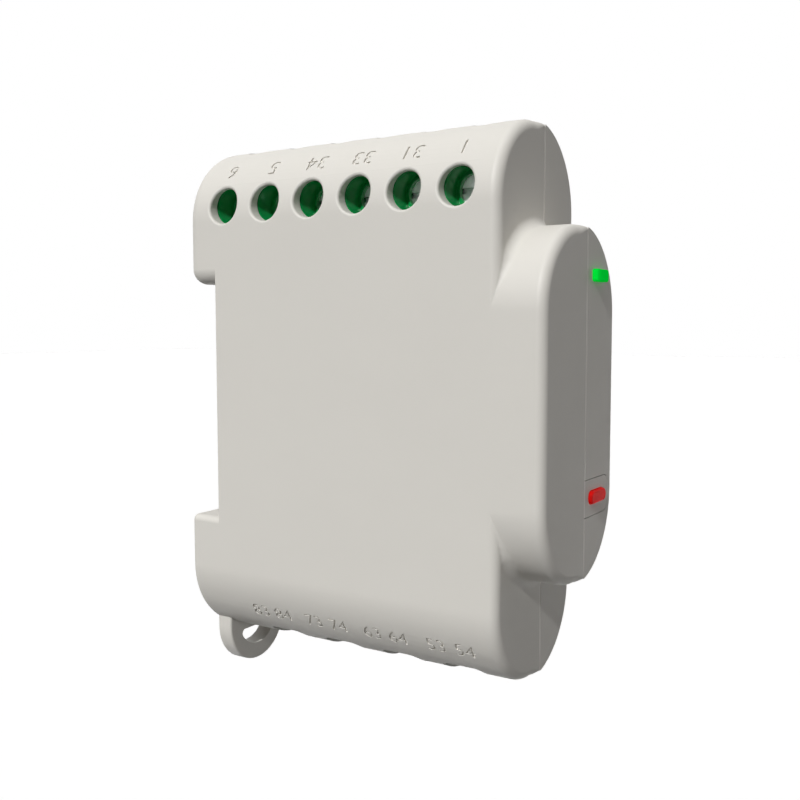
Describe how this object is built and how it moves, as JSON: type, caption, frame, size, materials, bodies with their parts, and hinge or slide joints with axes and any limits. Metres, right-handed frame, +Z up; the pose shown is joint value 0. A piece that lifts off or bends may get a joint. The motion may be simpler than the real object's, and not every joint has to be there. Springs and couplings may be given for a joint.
{
  "type": "three-phase energy meter",
  "caption": "Slim rail-mounted energy meter with round ends, a raised nose, screw wire terminals on top, clamp sockets below, a lamp, a button and a sprung rail latch.",
  "frame": {"origin": "middle of the rail seat: on the seat's flat face, half way up the 35 mm rail and half way across the width", "axes": "+X across the narrow width, from the side with the screwdriver holes to the lid; +Y from the front to the rail; +Z up, with the wire holes at the top and the latch below"},
  "size_m": [0.0274, 0.0714, 0.0975],
  "materials": {
    "housing": "fine spark-eroded moulding texture",
    "spring_steel": "drawn spring wire",
    "terminal_green": "smooth moulding",
    "tinned_copper": "tinned",
    "zinc_steel": "zinc plated",
    "circuit_board": "solder mask on glass laminate",
    "clear_green": "clear acrylic lit green",
    "led_body": "white resin with a clear lens",
    "button_red": "smooth moulding",
    "switch_black": "moulded",
    "relay_blue": "moulded cover",
    "film_yellow": "moulded box",
    "ferrite": "pressed and fired",
    "can_sleeve": "shrunk sleeve with a bare top",
    "coil_tape": "yellow tape",
    "varistor_red": "dipped lacquer",
    "resistor_black": "moulded",
    "module_black": "black solder mask",
    "shield_steel": "tinned sheet"
  },
  "bodies": {
    "housing": {"case_shell": "housing", "case_lid": "housing", "latch_spring": "spring_steel", "terminal_block": "terminal_green", "terminal_contacts": "tinned_copper", "socket_pins": "tinned_copper", "main_board": "circuit_board", "light_pipe": "clear_green", "status_led": "led_body", "push_switch": "switch_black", "relay": "relay_blue", "film_capacitor": "film_yellow", "filter_choke": "ferrite", "bulk_capacitor_1": "can_sleeve", "bulk_capacitor_2": "can_sleeve", "transformer_core": "ferrite", "transformer_coil": "coil_tape", "varistor": "varistor_red", "sense_resistors": "resistor_black", "metering_chip": "resistor_black", "wireless_module": "module_black", "wireless_shield": "shield_steel", "current_socket_1": "terminal_green", "current_socket_2": "terminal_green", "current_socket_3": "terminal_green", "current_socket_4": "terminal_green"},
    "latch": {"rail_latch": "housing"},
    "button": {"reset_button": "button_red", "switch_plunger": "switch_black"},
    "screw_1": {"terminal_screw_1": "zinc_steel"},
    "cage_1": {"clamp_cage_1": "zinc_steel"},
    "screw_2": {"terminal_screw_2": "zinc_steel"},
    "cage_2": {"clamp_cage_2": "zinc_steel"},
    "screw_3": {"terminal_screw_3": "zinc_steel"},
    "cage_3": {"clamp_cage_3": "zinc_steel"},
    "screw_4": {"terminal_screw_4": "zinc_steel"},
    "cage_4": {"clamp_cage_4": "zinc_steel"},
    "screw_5": {"terminal_screw_5": "zinc_steel"},
    "cage_5": {"clamp_cage_5": "zinc_steel"},
    "screw_6": {"terminal_screw_6": "zinc_steel"},
    "cage_6": {"clamp_cage_6": "zinc_steel"}
  },
  "joints": [
    {"name": "latch_slide", "type": "slide", "parent": "housing", "child": "latch", "axis": [0, 0, -1], "range_m": [0, 0.003], "stiffness_N_per_m": 2300, "springref_m": -0.002, "deforming": ["latch_spring"]},
    {"name": "button_press", "type": "slide", "parent": "housing", "child": "button", "axis": [0, 1, 0], "range_m": [0, 0.00035], "stiffness_N_per_m": 2000, "springref_m": -0.0005},
    {"name": "screw_1_turn", "type": "hinge", "parent": "housing", "child": "screw_1", "pos_m": [-0.00575, -0.0018, 0.036], "axis": [1, 0, 0], "range_deg": [0, 1152]},
    {"name": "cage_1_climb", "type": "slide", "parent": "housing", "child": "cage_1", "axis": [-1, 0, 0], "range_m": [0, 0.0016]},
    {"name": "screw_2_turn", "type": "hinge", "parent": "housing", "child": "screw_2", "pos_m": [-0.00575, -0.0112, 0.036], "axis": [1, 0, 0], "range_deg": [0, 1152]},
    {"name": "cage_2_climb", "type": "slide", "parent": "housing", "child": "cage_2", "axis": [-1, 0, 0], "range_m": [0, 0.0016]},
    {"name": "screw_3_turn", "type": "hinge", "parent": "housing", "child": "screw_3", "pos_m": [-0.00575, -0.0206, 0.036], "axis": [1, 0, 0], "range_deg": [0, 1152]},
    {"name": "cage_3_climb", "type": "slide", "parent": "housing", "child": "cage_3", "axis": [-1, 0, 0], "range_m": [0, 0.0016]},
    {"name": "screw_4_turn", "type": "hinge", "parent": "housing", "child": "screw_4", "pos_m": [-0.00575, -0.03, 0.036], "axis": [1, 0, 0], "range_deg": [0, 1152]},
    {"name": "cage_4_climb", "type": "slide", "parent": "housing", "child": "cage_4", "axis": [-1, 0, 0], "range_m": [0, 0.0016]},
    {"name": "screw_5_turn", "type": "hinge", "parent": "housing", "child": "screw_5", "pos_m": [-0.00575, -0.0394, 0.036], "axis": [1, 0, 0], "range_deg": [0, 1152]},
    {"name": "cage_5_climb", "type": "slide", "parent": "housing", "child": "cage_5", "axis": [-1, 0, 0], "range_m": [0, 0.0016]},
    {"name": "screw_6_turn", "type": "hinge", "parent": "housing", "child": "screw_6", "pos_m": [-0.00575, -0.0488, 0.036], "axis": [1, 0, 0], "range_deg": [0, 1152]},
    {"name": "cage_6_climb", "type": "slide", "parent": "housing", "child": "cage_6", "axis": [-1, 0, 0], "range_m": [0, 0.0016]}
  ],
  "couplings": [
    {"joint": "screw_1_turn", "follows": "cage_1_climb", "rad_per_m": 12566},
    {"joint": "screw_2_turn", "follows": "cage_2_climb", "rad_per_m": 12566},
    {"joint": "screw_3_turn", "follows": "cage_3_climb", "rad_per_m": 12566},
    {"joint": "screw_4_turn", "follows": "cage_4_climb", "rad_per_m": 12566},
    {"joint": "screw_5_turn", "follows": "cage_5_climb", "rad_per_m": 12566},
    {"joint": "screw_6_turn", "follows": "cage_6_climb", "rad_per_m": 12566}
  ]
}
